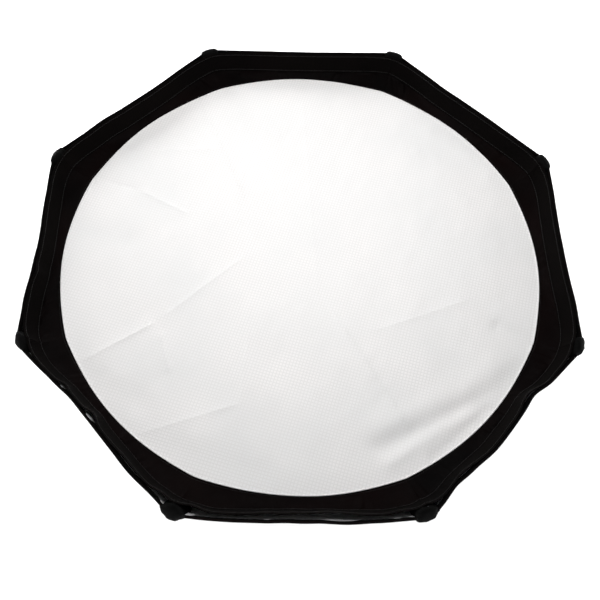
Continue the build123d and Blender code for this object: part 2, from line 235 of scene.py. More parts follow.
# Storage creases: start, end (metres), height of the ridge, half width.
CREASES = (
    ((-0.200, 0.358), (-0.098, 0.120), 0.0022, 0.010),
    ((-0.352, -0.200), (-0.235, -0.122), 0.0018, 0.011),
    ((-0.235, -0.122), (-0.090, 0.010), 0.0011, 0.012),
    ((0.046, -0.088), (0.170, -0.308), 0.0018, 0.009),
    ((-0.335, 0.222), (-0.142, 0.231), 0.0008, 0.010),
    ((-0.385, 0.163), (-0.293, 0.138), -0.0011, 0.010),
    ((-0.293, 0.138), (-0.195, 0.086), 0.0011, 0.010),
    ((-0.083, -0.120), (-0.099, -0.330), 0.0007, 0.012),
    ((0.096, -0.144), (0.300, -0.070), 0.0008, 0.012),
    ((-0.272, -0.321), (-0.079, -0.256), 0.0009, 0.013),
    ((-0.229, -0.138), (-0.206, -0.215), 0.0012, 0.010),
    ((0.000, 0.395), (0.030, -0.100), 0.0005, 0.014),
    ((0.205, 0.352), (0.345, 0.214), -0.0019, 0.012),
)
# Soft hanging folds: points along the fold, height, half width.
FOLDS = (
    (((0.120, -0.330), (0.170, -0.305), (0.262, -0.262), (0.350, -0.205)), -0.0044, 0.018),
    (((0.130, -0.300), (0.200, -0.268), (0.300, -0.215)), 0.0028, 0.026),
    (((0.137, -0.352), (0.214, -0.300), (0.262, -0.276)), 0.0026, 0.012),
    (((0.200, -0.345), (0.231, -0.320), (0.290, -0.270)), -0.0036, 0.010),
    (((0.326, -0.128), (0.380, -0.160)), -0.0030, 0.014),
    (((0.250, 0.275), (0.300, 0.235), (0.345, 0.180)), 0.0022, 0.018),
    (((-0.330, -0.225), (-0.256, -0.262)), -0.0022, 0.022),
    (((-0.225, -0.325), (-0.060, -0.372)), -0.0016, 0.022),
    (((-0.375, 0.040), (-0.300, 0.030)), -0.0012, 0.024),
)


def to_line(x, y, p, q):
    """Distance to a straight run and how far along it, as arrays."""
    dx, dy = q[0] - p[0], q[1] - p[1]
    n = hypot(dx, dy)
    t = ((x - p[0]) * dx + (y - p[1]) * dy) / n ** 2
    tc = np.clip(t, 0, 1)
    d = np.hypot(x - p[0] - tc * dx, y - p[1] - tc * dy)
    return d, t


def front_relief(x, y):
    """Height of the front cloth's creases, folds and slack above its smooth dish."""
    z = np.zeros_like(x)
    for p, q, height, width in CREASES:
        d, t = to_line(x, y, p, q)
        sharp = np.exp(-np.sqrt(d ** 2 + 0.0005 ** 2) / 0.0028)
        crest = 0.45 * sharp + np.exp(-np.sqrt(d ** 2 + 0.001 ** 2) / width)
        z = z + height * crest * np.clip(3.5 - 7 * np.abs(t - 0.5), 0, 1)
    for run, height, width in FOLDS:
        d = np.full_like(x, 9.0)
        for p, q in zip(run[:-1], run[1:]):
            d = np.minimum(d, to_line(x, y, p, q)[0])
        z = z + height * np.exp(-(d / width) ** 2)
    seed = sizes().seed
    z = z + 0.0020 * ripple(x / 0.13, y / 0.16, seed + 101)
    z = z + 0.0012 * ripple((x + 0.4 * y) / 0.055, (y - 0.3 * x) / 0.095, seed + 102)
    z = z + 0.00030 * ripple((x - 0.5 * y) / 0.018, (y + 0.4 * x) / 0.034, seed + 103)
    return z


class FrontCloth:
    """The diffuser as one surface in polar form, cut into sectors afterwards."""

    def __init__(self, arc):
        self.arc = arc
        self.z = sizes()
        self.fold_z = float(arc.point(arc.fold, 0.008)[1])

    def seam(self, k, u):
        """The sewn fold line at the strip's lower edge."""
        push = corner_push(self.arc, u, self.arc.fold) + bumps(u, STRIP_GAPS.get(k, ())) * 0.25
        return wall(self.arc, k, u, self.arc.fold + 0.0012, SEAM_OFF, STRIP_CORNER, push)

    def window_edge(self, k, u):
        """Radius of the white window; it is drawn out a little towards each corner."""
        turn = (1 - np.abs(u)) * HALF
        wobble = 0.0010 * ripple((u + 2 * k) * 1.6, 0.5 + 0 * u, self.z.seed + 40)
        return self.z.window_r + 0.0035 * np.exp(-(turn / 0.10) ** 1.3) + wobble * (1 - u ** 6)

    def window(self, k, u, v):
        """u across the sector, v from the middle (0) to the window's edge (1)."""
        edge = self.window_edge(k, u)
        r = v * edge
        turn = u * HALF + 2 * HALF * (k - 1)
        x, y = r * np.cos(turn), r * np.sin(turn)
        dish = -self.z.centre_drop + (self.z.centre_drop - self.z.window_drop) * v ** 2.2
        ease = 1 - 0.72 * v ** 10
        return np.stack([x, y, self.fold_z + dish + front_relief(x, y) * ease], axis=-1)

    def border(self, k, u, v):
        """u across the sector, v from the window's edge (0) to the fold line (1)."""
        inner = self.window(k, u, np.ones_like(u))
        outer = self.seam(k, u)
        w = v[..., None]
        p = inner * (1 - w) + outer * w
        p[..., 2] = inner[..., 2] + (outer[..., 2] - inner[..., 2]) * v ** 1.5
        along = u * HALF * 0.42
        depth = (1 - v) * np.hypot(*(outer - inner)[..., :2].transpose(-1, *range(u.ndim)))
        seed = self.z.seed + 60 + k
        slant = 0.55 * ripple(u * 2.2 + 7, 0 * u, seed + 9)
        q = along + depth * slant
        pucker = (ripple(q / 0.0062, 4 + depth / 0.06, seed) * 0.75
                  + ripple(q / 0.0135, 9 + depth / 0.05, seed + 1))
        live = np.clip(0.35 + 1.1 * ripple(along / 0.045, 0 * u, seed + 2), 0.12, 1.1)
        shape = np.exp(-depth / 0.020) * np.clip(depth / 0.004, 0, 1) + 0.35 * v * (1 - v)
        fade = np.clip((1 - np.abs(u)) / 0.03, 0, 1) * 0.8 + 0.2
        p[..., 2] += 0.0017 * pucker * live * shape * np.clip(v / 0.12, 0, 1) * fade
        drape = 0.0014 * ripple(along / 0.035 + 3, depth / 0.03, seed + 5) * v * (1 - v) * 4
        p[..., 2] += drape * (1 - u ** 6)
        return p


# ---- meshes

def grid_normals(p):
    du, dv = np.gradient(p, axis=0), np.gradient(p, axis=1)
    n = np.cross(du, dv)
    return n / np.maximum(np.linalg.norm(n, axis=-1, keepdims=True), 1e-12)


def facing(p, direction):
    """Grid normals turned so that the middle one faces the direction."""
    n = grid_normals(p)
    return n if n[n.shape[0] // 2, n.shape[1] // 2] @ direction > 0 else -n


def put(mesh, material=None):
    """An object of that mesh in the scene."""
    if material:
        mesh.materials.append(material)
    mesh.update()
    obj = bpy.data.objects.new(mesh.name, mesh)
    bpy.context.scene.collection.objects.link(obj)
    return obj


def loop_vertices(mesh):
    loops = np.zeros(len(mesh.loops), int)
    mesh.loops.foreach_get("vertex_index", loops)
    return loops


def map_cloth(mesh, at):
    """The cloth map: at holds a pair of lengths for each vertex."""
    layer = mesh.uv_layers.get("cloth") or mesh.uv_layers.new(name="cloth")
    layer.data.foreach_set("uv", at[loop_vertices(mesh)].astype(np.float32).ravel())


def cloth_piece(name, face, normals, thick, uv, material):
    """A closed cloth sheet: face is its (across, along) grid of outer points, the back lies thick
    behind it along normals, and a wall runs round the edge.  uv holds lengths in metres."""
    nu, nv = face.shape[:2]
    back = face - normals * thick
    verts = np.concatenate([face.reshape(-1, 3), back.reshape(-1, 3)])
    ids = np.arange(nu * nv).reshape(nu, nv)
    a, b, c, d = ids[:-1, :-1], ids[1:, :-1], ids[1:, 1:], ids[:-1, 1:]
    front = np.stack([a, b, c, d], -1).reshape(-1, 4)
    rear = np.stack([a, d, c, b], -1).reshape(-1, 4) + nu * nv
    ring = np.concatenate([ids[:, 0], ids[-1, 1:], ids[-2::-1, -1], ids[0, -2:0:-1]])
    nxt = np.roll(ring, -1)
    walls = np.stack([ring, ring + nu * nv, nxt + nu * nv, nxt], -1)
    faces = np.concatenate([front, rear, walls])
    if np.cross(face[1, 0] - face[0, 0], face[0, 1] - face[0, 0]) @ normals[0, 0] < 0:
        faces = faces[:, ::-1]
    mesh = bpy.data.meshes.new(name)
    mesh.from_pydata(verts.tolist(), [], faces.tolist())
    map_cloth(mesh, np.concatenate([uv.reshape(-1, 2)] * 2))
    flat = len(front) + len(rear)
    mesh.polygons.foreach_set("use_smooth", np.arange(len(faces)) < flat)
    corner = np.concatenate([normals.reshape(-1, 3), -normals.reshape(-1, 3)])[loop_vertices(mesh)]
    corner[4 * flat:] = np.repeat(np.array([f.normal for f in mesh.polygons[flat:]]), 4, axis=0)
    mesh.normals_split_custom_set(corner.tolist())
    return put(mesh, material)


def loft_piece(name, rings, material):
    """A closed solid from rings of points, shape (rings, around, 3), capped at both ends."""
    nr, na = rings.shape[:2]
    verts = rings.reshape(-1, 3)
    ids = np.arange(nr * na).reshape(nr, na)
    a, b = ids[:-1], ids[1:]
    sides = np.stack([a, np.roll(a, -1, 1), np.roll(b, -1, 1), b], -1).reshape(-1, 4)
    tips = np.array([rings[0].mean(0), rings[-1].mean(0)])
    verts = np.concatenate([verts, tips])
    n = nr * na
    caps = [(n, j, i) for i, j in zip(ids[0], np.roll(ids[0], -1))]
    caps += [(n + 1, i, j) for i, j in zip(ids[-1], np.roll(ids[-1], -1))]
    mesh = bpy.data.meshes.new(name)
    mesh.from_pydata(verts.tolist(), [], sides.tolist() + caps)
    mesh.update()
    volume = sum(f.center.dot(f.normal) * f.area for f in mesh.polygons)
    if volume < 0:
        mesh.flip_normals()
    lengths = np.concatenate([[0], np.cumsum(np.linalg.norm(np.diff(rings.mean(1), axis=0), axis=1))])
    girth = np.linalg.norm(np.roll(rings[0], -1, 0) - rings[0], axis=1).cumsum()
    at = np.stack([np.repeat(lengths, na), np.tile(girth, nr)], -1)
    map_cloth(mesh, np.concatenate([at, [[0, 0], [lengths[-1], 0]]]))
    mesh.polygons.foreach_set("use_smooth", np.ones(len(mesh.polygons), bool))
    return put(mesh, material)


def path_object(name, runs):
    """Open polylines in one mesh; each run is its points and the one outward direction, or one a point."""
    verts, edges, out = [], [], []
    for points, direction in runs:
        start = len(verts)
        verts += np.asarray(points).tolist()
        out.append(np.broadcast_to(direction, (len(points), 3)))
        edges += [(start + i, start + i + 1) for i in range(len(points) - 1)]
    mesh = bpy.data.meshes.new(name)
    mesh.from_pydata(verts, edges, [])
    attribute = mesh.attributes.new("outward", "FLOAT_VECTOR", "POINT")
    attribute.data.foreach_set("vector", np.concatenate(out).astype(np.float32).ravel())
    return put(mesh)


# ---- nodes

def node(tree, kind, values=(), **fields):
    """A new node: fields are its own settings, values its inputs, each a value, a socket to link,
    or a node whose first output is linked."""
    made = tree.nodes.new(kind)
    for field, value in fields.items():
        setattr(made, field, value)
    for slot, value in dict(values).items():
        if isinstance(value, bpy.types.Node):
            value = value.outputs[0]
        if isinstance(value, bpy.types.NodeSocket):
            tree.links.new(value, made.inputs[slot])
        else:
            made.inputs[slot].default_value = value
    return made


def maths(tree, operation, *values):
    return node(tree, "ShaderNodeMath", enumerate(values), operation=operation).outputs[0]


def new_tree(name, inputs):
    """An empty tree with named inputs, and those inputs' sockets."""
    tree = bpy.data.node_groups.new(name, "GeometryNodeTree")
    face = tree.interface
    face.new_socket("Geometry", in_out="INPUT", socket_type="NodeSocketGeometry")
    for label, kind, default in inputs:
        socket = face.new_socket(label, in_out="INPUT", socket_type="NodeSocket" + kind)
        if default is not None:
            socket.default_value = default
    face.new_socket("Geometry", in_out="OUTPUT", socket_type="NodeSocketGeometry")
    return tree, tree.nodes.new("NodeGroupInput").outputs


def finished_tree(tree, geometry, material):
    """Ends a tree: instances made real, the material set and the mesh handed out."""
    real = node(tree, "GeometryNodeRealizeInstances", {"Geometry": geometry})
    done = node(tree, "GeometryNodeSetMaterial", {"Geometry": real, "Material": material})
    node(tree, "NodeGroupOutput", {"Geometry": done})
    return tree


def stitch_tree():
    """Stitches laid along every path of the mesh, each one low capsule lying on the cloth."""
    tree, given = new_tree("Stitch row", (
        ("Pitch", "Float", 0.004), ("Length", "Float", 0.0032), ("Thickness", "Float", 0.0005),
        ("Zigzag", "Float", 0.0), ("Seed", "Int", 3), ("Thread", "Material", None)))
    curve = node(tree, "GeometryNodeMeshToCurve", {"Mesh": given["Geometry"]})
    steps = node(tree, "GeometryNodeResampleCurve", {"Curve": curve, "Length": given["Pitch"]},
                 mode="LENGTH")
    tangent = node(tree, "GeometryNodeInputTangent")
    outward = node(tree, "GeometryNodeInputNamedAttribute", {"Name": "outward"},
                   data_type="FLOAT_VECTOR")
    lie = node(tree, "FunctionNodeAlignRotationToVector", {"Vector": tangent}, axis="X")
    stand = node(tree, "FunctionNodeAlignRotationToVector",
                 {"Rotation": lie, "Vector": outward.outputs["Attribute"]},
                 axis="Z", pivot_axis="X")
    index = node(tree, "GeometryNodeInputIndex")
    parity = maths(tree, "MODULO", index, 2)
    side = maths(tree, "MULTIPLY_ADD", parity, 2, -1)
    angle = maths(tree, "MULTIPLY", side, given["Zigzag"])
    loose = node(tree, "FunctionNodeRandomValue", {"Seed": given["Seed"]})
    jitter = maths(tree, "MULTIPLY_ADD", loose.outputs[1], 0.12, angle)
    tilt = node(tree, "ShaderNodeCombineXYZ", {"Z": jitter})
    local = node(tree, "FunctionNodeRotateRotation",
                 {"Rotation": stand, "Rotate By": tilt}, rotation_space="LOCAL")
    bead = node(tree, "GeometryNodeMeshUVSphere", {"Segments": 6, "Rings": 4, "Radius": 0.5})
    lay = node(tree, "GeometryNodeTransform", {"Rotation": (0, pi / 2, 0), "Geometry": bead})
    size = node(tree, "ShaderNodeCombineXYZ",
                {"X": given["Length"], "Y": given["Thickness"], "Z": given["Thickness"]})
    place = node(tree, "GeometryNodeInstanceOnPoints",
                 {"Points": steps, "Instance": lay, "Rotation": local, "Scale": size})
    return finished_tree(tree, place, given["Thread"])


def piping_tree():
    """A round cord swept along every path of the mesh, closed at its ends."""
    tree, given = new_tree("Piping", (
        ("Radius", "Float", 0.001), ("Sides", "Int", 8), ("Cloth", "Material", None)))
    curve = node(tree, "GeometryNodeMeshToCurve", {"Mesh": given["Geometry"]})
    profile = node(tree, "GeometryNodeCurvePrimitiveCircle",
                   {"Resolution": given["Sides"], "Radius": given["Radius"]})
    sweep = node(tree, "GeometryNodeCurveToMesh",
                 {"Fill Caps": True, "Curve": curve, "Profile Curve": profile})
    return finished_tree(tree, sweep, given["Cloth"])


def grown(obj, tree, settings):
    """Runs a tree on obj and leaves its result in obj as a plain mesh."""
    modifier = obj.modifiers.new("grow", "NODES")
    modifier.node_group = tree
    for item in tree.interface.items_tree:
        if item.in_out == "INPUT" and item.name in settings:
            modifier[item.identifier] = settings[item.name]
    obj.update_tag()
    graph = bpy.context.evaluated_depsgraph_get()
    mesh = bpy.data.meshes.new_from_object(obj.evaluated_get(graph), preserve_all_data_layers=True,
                                           depsgraph=graph)
    if not len(mesh.polygons):
        raise RuntimeError(f"{obj.name}: the tree {tree.name} made nothing")
    old = obj.data
    obj.modifiers.remove(modifier)
    obj.data = mesh
    bpy.data.meshes.remove(old)
    mesh.name = obj.name
    mesh.polygons.foreach_set("use_smooth", np.ones(len(mesh.polygons), bool))
    return obj


# ---- materials

def shader(name, base, roughness, metallic=0.0, **more):
    """A principled material with its fixed values set on the shader's own sockets."""
    material = bpy.data.materials.new(name)
    material.use_nodes = True
    nodes = material.node_tree.nodes
    bsdf = nodes["Principled BSDF"]
    bsdf.inputs["Base Color"].default_value = (*base, 1)
    bsdf.inputs["Roughness"].default_value = roughness
    bsdf.inputs["Metallic"].default_value = metallic
    for label, value in more.items():
        bsdf.inputs[label.replace("_", " ")].default_value = value
    material.diffuse_color = (*base, 1)
    return material, material.node_tree, bsdf


def noise(tree, vector, scale, detail=3.0, rough=0.55):
    return node(tree, "ShaderNodeTexNoise", {"Scale": scale, "Detail": detail, "Roughness": rough,
                                             "Vector": vector}).outputs["Fac"]


def spread(tree, value, low, high):
    return node(tree, "ShaderNodeMapRange",
                {"To Min": low, "To Max": high, "Value": value}).outputs["Result"]


def ramp(tree, value, low, high, places=(0.3, 0.7)):
    """A colour that runs from low to high as value runs between the two places."""
    made = node(tree, "ShaderNodeValToRGB", {"Fac": value})
    for element, place, shade in zip(made.color_ramp.elements, places, (low, high)):
        element.position = place
        element.color = (*shade, 1)
    return made.outputs["Color"]


def tinted(base, factor):
    return tuple(min(1, v * factor) for v in base)


def bumped(tree, bsdf, height, distance, strength):
    made = node(tree, "ShaderNodeBump", {"Strength": strength, "Distance": distance, "Height": height})
    tree.links.new(made.outputs["Normal"], bsdf.inputs["Normal"])


def drive(tree, bsdf, **sources):
    """Links sockets to the shader's colour and roughness."""
    for label, source in sources.items():
        tree.links.new(source, bsdf.inputs[label.replace("_", " ")])


def cloth_axes(tree):
    """The cloth's own map, in metres: the pair, then each direction."""
    pair = node(tree, "ShaderNodeUVMap", uv_map="cloth").outputs["UV"]
    split = node(tree, "ShaderNodeSeparateXYZ", {"Vector": pair})
    return pair, split.outputs["X"], split.outputs["Y"]


def object_axes(tree):
    return tree.nodes.new("ShaderNodeTexCoord").outputs["Object"]


def lines(tree, value, pitch, sharp):
    """0 between the lines, 1 on them, one line every pitch."""
    wave = maths(tree, "COSINE", maths(tree, "MULTIPLY", value, 2 * pi / pitch))
    return maths(tree, "POWER", maths(tree, "MULTIPLY", maths(tree, "ADD", wave, 1.0), 0.5), sharp)


def blend(tree, a, share_a, b, share_b):
    """Two heights added in the given shares."""
    return maths(tree, "ADD", maths(tree, "MULTIPLY", a, share_a), maths(tree, "MULTIPLY", b, share_b))


GRID_PITCH = 0.0051     # heavier threads of the window cloth
GRID_TURN = radians(-16)
FINE_PITCH = 0.00062    # its ground weave


def window_material():
    base = colours().window
    material, tree, bsdf = shader("window_cloth", base, 0.72,
        Sheen_Weight=0.15, Sheen_Roughness=0.5, Specular_IOR_Level=0.25)
    _, x, y = cloth_axes(tree)
    x, y = (blend(tree, x, cos(GRID_TURN), y, sin(GRID_TURN)),
            blend(tree, y, cos(GRID_TURN), x, -sin(GRID_TURN)))
    grid = maths(tree, "MAXIMUM", lines(tree, x, GRID_PITCH, 5), lines(tree, y, GRID_PITCH, 5))
    weave = maths(tree, "MULTIPLY", lines(tree, x, FINE_PITCH, 1), lines(tree, y, FINE_PITCH, 1))
    stain = noise(tree, object_axes(tree), 6.0)
    pale = ramp(tree, stain, tuple(v * f for v, f in zip(base, (0.955, 0.965, 0.975))),
                tuple(min(1, v * f) for v, f in zip(base, (1.04, 1.03, 1.035))))
    mix = node(tree, "ShaderNodeMix", {"B": (*tinted(base, 0.885), 1), "A": pale,
                                       "Factor": spread(tree, grid, 0.0, 0.85)}, data_type="RGBA")
    drive(tree, bsdf, Base_Color=mix.outputs["Result"], Roughness=spread(tree, stain, 0.66, 0.80))
    bumped(tree, bsdf, blend(tree, grid, 1.0, weave, 0.35), 0.00018, 0.8)
    return material


def nylon_material(name, base, roughness, pitch=0.0006, sheen=0.004, warm=1.35, shine=0.05):
    material, tree, bsdf = shader(name, base, roughness,
        Sheen_Weight=sheen, Sheen_Roughness=0.35, Specular_IOR_Level=shine)
    _, x, y = cloth_axes(tree)
    place = object_axes(tree)
    weave = maths(tree, "MULTIPLY", lines(tree, x, pitch, 1), lines(tree, y, pitch, 1))
    crumple = noise(tree, place, 120.0, 3.0, 0.6)
    high = (base[0] * warm, base[1] * 1.12, base[2] * 1.10)
    drive(tree, bsdf, Roughness=spread(tree, crumple, roughness - 0.10, roughness + 0.10),
          Base_Color=ramp(tree, noise(tree, place, 9.0, 4.0), tinted(base, 0.72), high, (0.32, 0.72)))
    bumped(tree, bsdf, blend(tree, weave, 0.10, crumple, 1.0), 0.0005, 0.5)
    return material


def strip_material():
    base = colours().strip
    material, tree, bsdf = shader("strip_weave", base, 0.85,
        Sheen_Weight=0.004, Sheen_Roughness=0.6, Specular_IOR_Level=0.03)
    pair, x, y = cloth_axes(tree)
    fuzz = noise(tree, pair, 2600.0, 2.0, 0.7)
    pattern = blend(tree, lines(tree, y, 0.0021, 2), 0.5, lines(tree, x, 0.0026, 2), 0.7)
    height = blend(tree, pattern, 1.0, fuzz, 0.25)
    cloud = noise(tree, object_axes(tree), 14.0)
    high = (base[0] * 1.9, base[1] * 1.5, base[2] * 1.45)
    drive(tree, bsdf, Base_Color=ramp(tree, blend(tree, cloud, 0.5, height, 0.5), tinted(base, 0.6),
                                      high, (0.3, 1.0)))
    bumped(tree, bsdf, height, 0.0004, 0.6)
    return material


def tape_material():
    base = colours().tape
    material, tree, bsdf = shader("tape_twill", base, 0.85, Sheen_Weight=0.002, Specular_IOR_Level=0.03)
    _, x, y = cloth_axes(tree)
    twill = lines(tree, maths(tree, "ADD", x, y), 0.0016, 1)
    cloud = noise(tree, object_axes(tree), 18.0)
    drive(tree, bsdf, Roughness=spread(tree, cloud, 0.75, 0.92),
          Base_Color=ramp(tree, cloud, tinted(base, 0.75), tinted(base, 1.6), (0.3, 0.75)))
    bumped(tree, bsdf, blend(tree, twill, 0.7, lines(tree, y, 0.0009, 1), 0.5), 0.0003, 0.5)
    return material


def lining_material():
    base = colours().lining
    material, tree, bsdf = shader("lining_coat", base, 0.42, 0.45)
    place = object_axes(tree)
    pebble = noise(tree, place, 420.0, 2.0, 0.6)
    drive(tree, bsdf, Roughness=spread(tree, pebble, 0.28, 0.45),
          Base_Color=ramp(tree, noise(tree, place, 12.0), tinted(base, 0.85), tinted(base, 1.08)))
    bumped(tree, bsdf, pebble, 0.0006, 0.6)
    return material


def metal_material(name, base, roughness, metallic, grain=(1.0, 1.0, 1.0), scale=260.0, depth=0.00006):
    """Cast, turned or drawn metal; grain stretches its marks along one axis."""
    material, tree, bsdf = shader(name, base, roughness, metallic)
    place = node(tree, "ShaderNodeMapping", {"Scale": grain, "Vector": object_axes(tree)})
    marks = noise(tree, place.outputs["Vector"], scale, 4.0, 0.6)
    cloud = noise(tree, object_axes(tree), 22.0)
    drive(tree, bsdf, Roughness=spread(tree, marks, max(0.05, roughness - 0.12), roughness + 0.12),
          Base_Color=ramp(tree, cloud, tinted(base, 0.8), tinted(base, 1.18)))
    bumped(tree, bsdf, marks, depth, 0.6)
    return material


def plastic_material(name, base, roughness):
    material, tree, bsdf = shader(name, base, roughness, Specular_IOR_Level=0.5)
    place = object_axes(tree)
    grain = noise(tree, place, 1400.0, 2.0, 0.5)
    drive(tree, bsdf, Roughness=spread(tree, grain, roughness - 0.08, roughness + 0.08),
          Base_Color=ramp(tree, noise(tree, place, 30.0, 2.0), tinted(base, 0.85), tinted(base, 1.2)))
    bumped(tree, bsdf, grain, 0.00008, 0.6)
    return material


def thread_material():
    base = colours().thread
    material, tree, bsdf = shader("sewing_thread", base, 0.55, Sheen_Weight=0.05, Specular_IOR_Level=0.2)
    twist = noise(tree, object_axes(tree), 3000.0, 1.0)
    drive(tree, bsdf, Base_Color=ramp(tree, twist, tinted(base, 0.7), tinted(base, 1.5)))
    return material


# ---- riding and folding

def heading(k, half=0):
    """Level direction outwards at the middle of panel k, or half a panel further round."""
    b = 2 * HALF * (k - 1) + half * HALF
    return np.array([cos(b), sin(b), 0.0])


def fold_with_panel(obj, body):
    """The piece rides on its panel's body, with a mesh of its own."""
    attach(obj, body)
    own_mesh(obj)


def ride_rib(obj, k):
    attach(obj, f"rib_{k}")


def panels():
    return range(1, SIDES + 1)


def cloth_map(arc, u, s):
    """Lengths across and along a side panel."""
    return np.stack(np.broadcast_arrays(u * arc.point(s)[0] * sin(HALF), s), -1)


# ---- operators

class SOFTBOX_OT_shell(bpy.types.Operator):
    """Coated nylon side panels, one between each pair of ribs"""
    bl_idname = "softbox.shell"
    bl_label = "Shell panels"

    def execute(self, context):
        arc = RibArc()
        cloth = nylon_material("shell_nylon", colours().shell, 0.50)
        u = np.linspace(-1, 1, 97)[:, None]
        s = np.linspace(arc.z.shell_start, arc.length, 121)[None, :]
        for k in panels():
            p = wall(arc, k, u, s, SHELL_OFF)
            obj = cloth_piece(f"shell_panel_{k}", p, facing(p, heading(k)), 0.00045,
                              cloth_map(arc, u, s), cloth)
            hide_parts(f"shell_gore_{k}")
            fold_with_panel(obj, f"shell_{k}")
        return {"FINISHED"}


class SOFTBOX_OT_lining(bpy.types.Operator):
    """Silver lining just inside each shell panel"""
    bl_idname = "softbox.lining"
    bl_label = "Silver lining"

    def execute(self, context):
        arc = RibArc()
        start = arc.z.shell_start + 0.004
        cloth = lining_material()
        u = np.linspace(-0.995, 0.995, 129)[:, None]
        for k in panels():
            peek = sum((far * np.exp(-((u - place) / width) ** 4)
                        for place, width, far in LINING_PEEKS.get(k, ())), np.zeros_like(u))
            top = arc.length - 0.0120 + 0.0110 * peek
            s = start + (top - start) * np.linspace(0, 1, 61)[None, :] ** 0.8
            rise = np.clip((s - arc.length + 0.020) / 0.010, 0, 1)
            reach = u * (0.92 + 0.08 * np.clip((s - 0.25) / 0.20, 0, 1))
            p = wall(arc, k, reach, s, SHELL_OFF, push=0.0010 + 0.0026 * peek * rise)
            obj = cloth_piece(f"silver_lining_{k}", p, facing(p, heading(k)), 0.0003,
                              cloth_map(arc, u, s), cloth)
            fold_with_panel(obj, f"shell_{k}")
        return {"FINISHED"}


def hem_loop(arc, k, u, s_top, height, off_out, off_in):
    """Cross-section rings of a binding folded over an edge, one ring for each u."""
    half_t = (off_out - off_in) / 2
    mid = (off_out + off_in) / 2
    turn = np.linspace(0, pi, 5)
    sections = [(s_top - height, off_out)]
    sections += [(s_top - half_t + half_t * sin(t), mid + half_t * cos(t)) for t in turn]
    sections += [(s_top - 0.45 * height, off_in)]
    sections += [(s_top - 0.45 * height - 0.0003, mid), (s_top - height, mid + 0.4 * half_t)]
    return np.stack([wall(arc, k, u, s_at, SHELL_OFF, push=SHELL_OFF - off) for s_at, off in sections],
                    axis=1)


class SOFTBOX_OT_binding(bpy.types.Operator):
    """Folded binding over the rim edge of each shell panel"""
    bl_idname = "softbox.binding"
    bl_label = "Rim binding"

    def execute(self, context):
        arc, z = RibArc(), sizes()
        cloth = nylon_material("binding_cloth", tinted(colours().shell, 0.8), 0.75, 0.0009, 0.002, 1.5,
                               0.03)
        u = np.linspace(-1, 1, 161)
        for k in panels():
            rings = hem_loop(arc, k, u, arc.length + 0.0012, z.binding_h, 0.0097, 0.0068)
            obj = loft_piece(f"rim_binding_{k}", rings, cloth)
            fold_with_panel(obj, f"shell_{k}")
        return {"FINISHED"}


def strip_wall(arc, k, u, s, off):
    """Points on the hook strip, which cuts across the corners and stands away here and there."""
    gap = bumps(u, STRIP_GAPS.get(k, ()))
    grow = np.clip((s - arc.fold) / (arc.length - arc.fold), 0, 1)
    push = corner_push(arc, u, s) + gap * (0.25 + 0.75 * grow) * (1 - u ** 16)
    waver = 1 + ripple((u + 3 * k) * 7, s / 0.03, sizes().seed + 70)
    push = push + 0.0008 * waver * grow * (1 - u ** 6)
    return wall(arc, k, u, s, off, STRIP_CORNER, push)


class SOFTBOX_OT_strip(bpy.types.Operator):
    """Hook strip standing up round the inside of the rim"""
    bl_idname = "softbox.strip"
    bl_label = "Hook strip"

    def execute(self, context):
        arc, z = RibArc(), sizes()
        cloth = strip_material()
        u = np.concatenate([np.linspace(-1, -0.88, 15)[:-1], np.linspace(-0.88, 0.88, 113)[:-1],
                            np.linspace(0.88, 1, 15)])[:, None]
        s = np.linspace(arc.fold + 0.0012, arc.length - z.rim_hem, 15)[None, :]
        for k in panels():
            p = strip_wall(arc, k, u, s, STRIP_OFF)
            obj = cloth_piece(f"hook_band_{k}", p, facing(p, -heading(k)), 0.0011,
                              cloth_map(arc, u, s), cloth)
            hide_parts(f"hook_strip_{k}")
            fold_with_panel(obj, f"shell_{k}")
        return {"FINISHED"}


class SOFTBOX_OT_front(bpy.types.Operator):
    """Front diffuser: white window and black border, in eight sectors"""
    bl_idname = "softbox.front"
    bl_label = "Front cloth"

    def execute(self, context):
        front = FrontCloth(RibArc())
        white, piping = window_material(), piping_tree()
        black = nylon_material("border_nylon", colours().border, 0.62, 0.0006, 0.002, 1.9, 0.025)
        u = np.linspace(-1, 1, 121)
        v = np.concatenate([np.linspace(0.0006, 0.2, 15)[:-1], np.linspace(0.2, 1, 121)])
        inner = np.meshgrid(u, v, indexing="ij")
        outer = np.meshgrid(np.linspace(-1, 1, 281), np.linspace(0, 1, 27), indexing="ij")
        for k in panels():
            p = front.window(k, *inner)
            obj = cloth_piece(f"front_window_{k}", p, self.relief_normals(p, inner[1]), 0.0005,
                              p[..., :2].copy(), white)
            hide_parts(f"diffuser_panel_{k}")
            fold_with_panel(obj, f"front_{k}")
            p = front.border(k, *outer)
            obj = cloth_piece(f"front_border_{k}", p, facing(p, UPWARDS), 0.0006, p[..., :2].copy(), black)
            fold_with_panel(obj, f"front_{k}")
            edge = front.window(k, u, np.ones_like(u)) + np.array([0, 0, 0.0003])
            hem = path_object(f"window_hem_{k}", [(edge, UPWARDS)])
            grown(hem, piping, {"Radius": 0.0011, "Sides": 8, "Cloth": white})
            map_cloth(hem.data, np.array([point.co[:2] for point in hem.data.vertices]))
            fold_with_panel(hem, f"front_{k}")
        return {"FINISHED"}

    def relief_normals(self, p, v):
        """Normals of the window taken from its creases and folds."""
        x, y = p[..., 0], p[..., 1]
        e = 2e-4
        hx = (front_relief(x + e, y) - front_relief(x - e, y)) / (2 * e)
        hy = (front_relief(x, y + e) - front_relief(x, y - e)) / (2 * e)
        ease = 1 - 0.72 * v ** 10
        n = np.stack([-hx * ease, -hy * ease, np.ones_like(x)], -1)
        return n / np.linalg.norm(n, axis=-1, keepdims=True)


def tape_half_width(arc, s):
    """The seam tape narrows towards the rim."""
    return np.interp(s, [0, 0.26, arc.length], [0.029, 0.029, 0.015])


